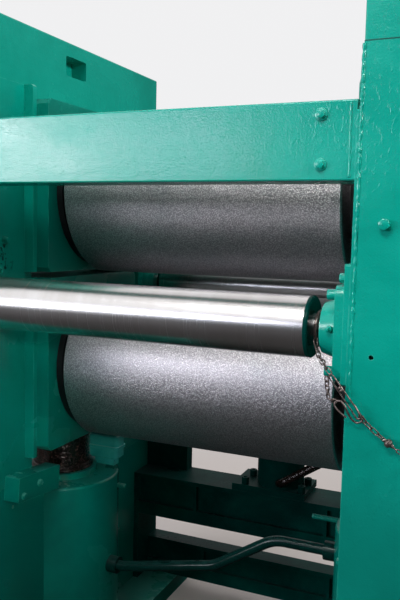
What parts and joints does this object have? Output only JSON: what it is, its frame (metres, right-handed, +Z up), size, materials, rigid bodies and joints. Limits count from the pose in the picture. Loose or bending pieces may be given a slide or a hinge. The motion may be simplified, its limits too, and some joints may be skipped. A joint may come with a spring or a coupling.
{
  "type": "embossing machine",
  "caption": "Two-roll embossing machine: grained rolls between heavy green stands, polished guide rolls, tie beams and hydraulic cylinders under the lower roll.",
  "frame": {"origin": "on the floor, under the middle of the two stands", "axes": "+X along the rolls to the right seen from the front, +Y to the rear, +Z up"},
  "size_m": [1.628, 1.3, 2.107],
  "materials": {
    "stand_green": "glossy brushed-on enamel with runs and dust",
    "dark_green": "worn dark green enamel on shaded and oily parts",
    "grained_steel": "dark steel roll with an embossed leather grain",
    "turned_steel": "turned and ground steel, oiled",
    "polished_chrome": "polished roll, chromed",
    "black_seal": "black seal with oil film",
    "greased_rust": "brown rust under old grease",
    "cylinder_green": "oily green enamel",
    "pipe_green": "dark green painted pipe",
    "rusty_chain": "rusty wire chain"
  },
  "bodies": {
    "root": {"left_base_plate": "stand_green", "left_front_post": "stand_green", "left_rear_post": "stand_green", "left_head": "stand_green", "left_upper_chock": "stand_green", "left_cylinder": "cylinder_green", "left_guide_bearings": "stand_green", "right_base_plate": "stand_green", "right_front_post": "stand_green", "right_rear_post": "stand_green", "right_head": "stand_green", "right_upper_chock": "stand_green", "right_cylinder": "cylinder_green", "right_guide_bearings": "stand_green", "upper_seal_rings": "black_seal", "upper_chock_covers": "stand_green", "front_tie_beam": "stand_green", "rear_tie_beam": "stand_green", "upper_cross_beam": "dark_green", "lower_cross_beam": "dark_green", "guide_strips": "stand_green", "hold_down_bars": "cylinder_green", "bearing_pads": "stand_green", "valve_blocks": "cylinder_green", "cross_beam_plates": "dark_green", "rear_bracket": "dark_green", "return_pipe": "greased_rust", "rear_cylinder": "dark_green", "rear_cylinder_base": "dark_green", "oil_pipe": "pipe_green", "safety_chain": "rusty_chain", "chain_ring": "rusty_chain", "chain_eye": "rusty_chain"},
    "upper_roll": {"upper_roll": "grained_steel"},
    "lower_chocks": {"left_lower_chock": "stand_green", "left_ram": "greased_rust", "right_lower_chock": "stand_green", "right_ram": "greased_rust", "lower_seal_rings": "black_seal", "lower_chock_covers": "stand_green"},
    "lower_roll": {"lower_roll": "grained_steel"},
    "front_guide_roll": {"front_guide_roll": "polished_chrome", "front_guide_roll_ends": "dark_green"},
    "rear_guide_roll": {"rear_guide_roll": "polished_chrome", "rear_guide_roll_ends": "dark_green"}
  },
  "joints": [
    {"name": "upper_roll_turn", "type": "hinge", "parent": "root", "child": "upper_roll", "pos_m": [0, 0.03, 1.61], "axis": [1, 0, 0], "continuous": true},
    {"name": "lower_roll_lift", "type": "slide", "parent": "root", "child": "lower_chocks", "axis": [0, 0, 1], "range_m": [-0.035, 0.012]},
    {"name": "lower_roll_turn", "type": "hinge", "parent": "lower_chocks", "child": "lower_roll", "pos_m": [0, 0.03, 1.058], "axis": [1, 0, 0], "continuous": true},
    {"name": "front_guide_roll_turn", "type": "hinge", "parent": "root", "child": "front_guide_roll", "pos_m": [0, -0.51, 1.296], "axis": [1, 0, 0], "continuous": true},
    {"name": "rear_guide_roll_turn", "type": "hinge", "parent": "root", "child": "rear_guide_roll", "pos_m": [0, 0.51, 1.296], "axis": [1, 0, 0], "continuous": true}
  ]
}
